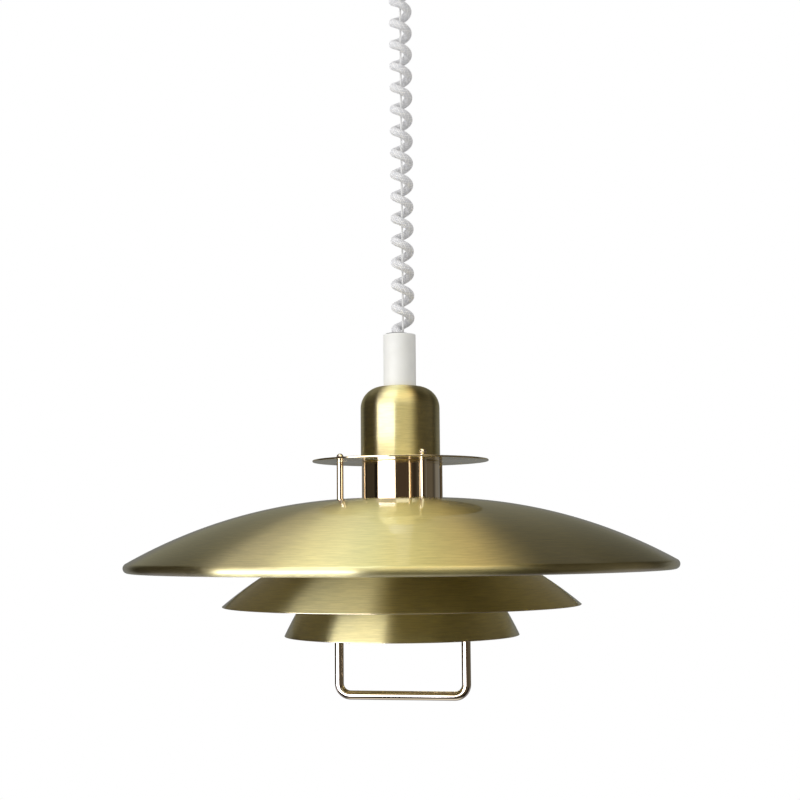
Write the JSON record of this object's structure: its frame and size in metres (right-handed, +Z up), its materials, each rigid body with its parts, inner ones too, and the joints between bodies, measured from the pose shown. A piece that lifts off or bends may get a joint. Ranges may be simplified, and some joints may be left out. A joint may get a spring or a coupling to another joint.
{
  "type": "rise and fall pendant",
  "caption": "Rise and fall ceiling pendant: three tiered spun shades on studs under a collar disc and cap, a pull handle, a curly cord and a spring reel in a ceiling cup.",
  "frame": {"origin": "middle of the ceiling face, on the lamp's axis", "axes": "+Z up into the ceiling, along the lamp's axis; X along the handle's bar; -Y the side that is seen"},
  "size_m": [0.5, 0.5, 0.7709],
  "materials": {
    "white_enamel": "smooth white enamel",
    "zinc_steel": "zinc plated steel",
    "drum_plastic": "dark moulded plastic",
    "friction_fibre": "pressed friction fibre",
    "spring_steel": "blued spring steel",
    "white_plastic": "smooth white moulding",
    "dark_rubber": "dark rubber",
    "cord_cover": "woven textile cover over a curled cord",
    "lead_sheath": "plain flexible sheath",
    "coated_wire": "steel wire in a clear white coating",
    "satin_brass": "satin, brushed round the axis, lacquered",
    "collar_brass": "satin faces and a polished edge",
    "polished_brass": "polished",
    "holder_plastic": "black thermoset moulding",
    "porcelain": "glazed porcelain",
    "contact_brass": "plain pressed brass"
  },
  "bodies": {
    "ceiling_unit": {"ceiling_cup": "white_enamel", "ceiling_bracket": "zinc_steel", "reel_frame": "zinc_steel", "reel_axle": "zinc_steel", "axle_nuts": "zinc_steel", "axle_spacer": "zinc_steel", "spring_arbor": "zinc_steel", "frame_screws": "zinc_steel", "outlet_clamp_screw": "zinc_steel", "cup_screws": "zinc_steel", "brake_washer": "friction_fibre", "cord_outlet_bush": "white_plastic", "outlet_nut": "white_plastic", "outlet_clamp_jaws": "white_plastic", "terminal_block": "white_plastic", "curly_cord": "cord_cover", "cup_lead": "lead_sheath", "suspension_wire": "coated_wire", "terminal_screws": "contact_brass"},
    "reel": {"wire_drum": "drum_plastic", "drum_cover": "drum_plastic", "power_spring": "spring_steel", "wire_winding": "coated_wire"},
    "lamp": {"wire_stop": "zinc_steel", "grip_housing": "white_plastic", "grip_plug": "white_plastic", "grip_gasket": "dark_rubber", "grip_clamp_jaws": "white_plastic", "grip_clamp_screw": "zinc_steel", "inner_lead": "lead_sheath", "centre_tube": "zinc_steel", "centre_nuts": "zinc_steel", "centre_washers": "zinc_steel", "spun_cap": "satin_brass", "collar_disc": "collar_brass", "polished_sleeve": "polished_brass", "outer_shade": "satin_brass", "middle_shade": "satin_brass", "lower_shade": "satin_brass", "long_studs": "zinc_steel", "dome_nuts": "polished_brass", "upper_spacers": "polished_brass", "middle_spacers": "zinc_steel", "shade_screws": "zinc_steel", "lower_spacers": "zinc_steel", "shade_washers": "zinc_steel", "shade_nuts": "zinc_steel", "handle": "polished_brass", "handle_screws": "zinc_steel", "handle_washers": "zinc_steel", "lampholder_cap": "holder_plastic", "lampholder_skirt": "holder_plastic", "lampholder_core": "porcelain", "thread_shell": "contact_brass", "lamp_contacts": "contact_brass", "core_screws": "zinc_steel"}
  },
  "joints": [
    {"name": "rise_fall", "type": "slide", "parent": "ceiling_unit", "child": "lamp", "axis": [0, 0, 1], "range_m": [-0.32, 0.15], "deforming": ["curly_cord", "suspension_wire"]},
    {"name": "reel_spin", "type": "hinge", "parent": "ceiling_unit", "child": "reel", "pos_m": [-0.01955, 0, -0.044], "axis": [0, -1, 0], "range_deg": [-805, 380]}
  ],
  "couplings": [
    {"joint": "reel_spin", "follows": "rise_fall", "rad_per_m": 43.573}
  ]
}
